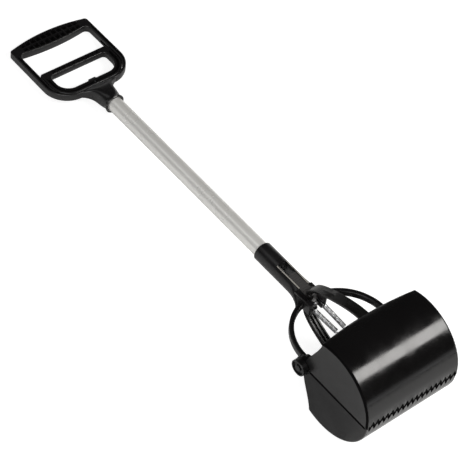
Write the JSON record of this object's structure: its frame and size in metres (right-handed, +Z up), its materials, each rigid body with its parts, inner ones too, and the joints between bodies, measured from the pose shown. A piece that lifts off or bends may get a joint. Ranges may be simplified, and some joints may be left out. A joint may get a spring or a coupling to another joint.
{
  "type": "pooper scooper",
  "caption": "Long hand scoop for pet waste: squeezing the loop in its D handle pulls a rod that opens two toothed, spring-closed jaws.",
  "frame": {"origin": "centre of the bounding box's bottom face, on the floor that the tool lies on", "axes": "+Z up; -Y towards the handle; X along the jaws' hinge"},
  "size_m": [0.167, 0.7689, 0.141],
  "materials": {
    "handle_plastic": "satin",
    "tube_metal": "satin",
    "yoke_plastic": "satin",
    "slider_plastic": "matte",
    "link_plastic": "satin",
    "jaw_plastic": "gloss",
    "cap_plastic": "satin",
    "bush_plastic": "matte",
    "spring_steel": "satin",
    "pin_steel": "satin"
  },
  "bodies": {
    "root": {"handle_frame": "handle_plastic", "handle_screw": "pin_steel", "tube": "tube_metal", "upper_rod_bush": "bush_plastic", "lower_rod_bush": "bush_plastic", "yoke": "yoke_plastic", "socket_screw": "pin_steel", "hinge_axle": "pin_steel", "left_hinge_cap": "cap_plastic", "right_hinge_cap": "cap_plastic", "left_hinge_washer": "bush_plastic", "right_hinge_washer": "bush_plastic", "left_spring": "spring_steel", "right_spring": "spring_steel"},
    "trigger": {"trigger_loop": "handle_plastic", "pull_rod": "pin_steel", "rod_pin": "pin_steel", "slider": "slider_plastic", "rod_nut": "pin_steel", "spring_pin": "pin_steel", "front_slider_pin": "pin_steel", "rear_slider_pin": "pin_steel"},
    "front_link": {"front_link": "link_plastic"},
    "rear_link": {"rear_link": "link_plastic"},
    "front_jaw": {"front_jaw": "jaw_plastic", "front_jaw_pin": "pin_steel"},
    "rear_jaw": {"rear_jaw": "jaw_plastic", "rear_jaw_pin": "pin_steel"}
  },
  "joints": [
    {"name": "trigger_slide", "type": "slide", "parent": "root", "child": "trigger", "axis": [0, -0.9957, -0.0926], "range_m": [0, 0.019], "stiffness_N_per_m": 800, "springref_m": -0.02, "deforming": ["left_spring", "right_spring"]},
    {"name": "front_jaw_hinge", "type": "hinge", "parent": "root", "child": "front_jaw", "pos_m": [0, 0.26721, 0.06615], "axis": [1, 0, 0], "range_deg": [0, 21.24]},
    {"name": "rear_jaw_hinge", "type": "hinge", "parent": "root", "child": "rear_jaw", "pos_m": [0, 0.26721, 0.06615], "axis": [-1, 0, 0], "range_deg": [0, 21.24]},
    {"name": "front_link_hinge", "type": "hinge", "parent": "trigger", "child": "front_link", "pos_m": [0, 0.1953, 0.07272], "axis": [1, 0, 0], "range_deg": [0, 2.41]},
    {"name": "rear_link_hinge", "type": "hinge", "parent": "trigger", "child": "rear_link", "pos_m": [0, 0.19774, 0.04643], "axis": [-1, 0, 0], "range_deg": [0, 2.41]}
  ],
  "couplings": [
    {"joint": "front_jaw_hinge", "follows": "trigger_slide", "rad_per_m": 19.499},
    {"joint": "rear_jaw_hinge", "follows": "trigger_slide", "rad_per_m": 19.499},
    {"joint": "front_link_hinge", "follows": "trigger_slide", "rad_per_m": 2.2019},
    {"joint": "rear_link_hinge", "follows": "trigger_slide", "rad_per_m": 2.2019}
  ]
}
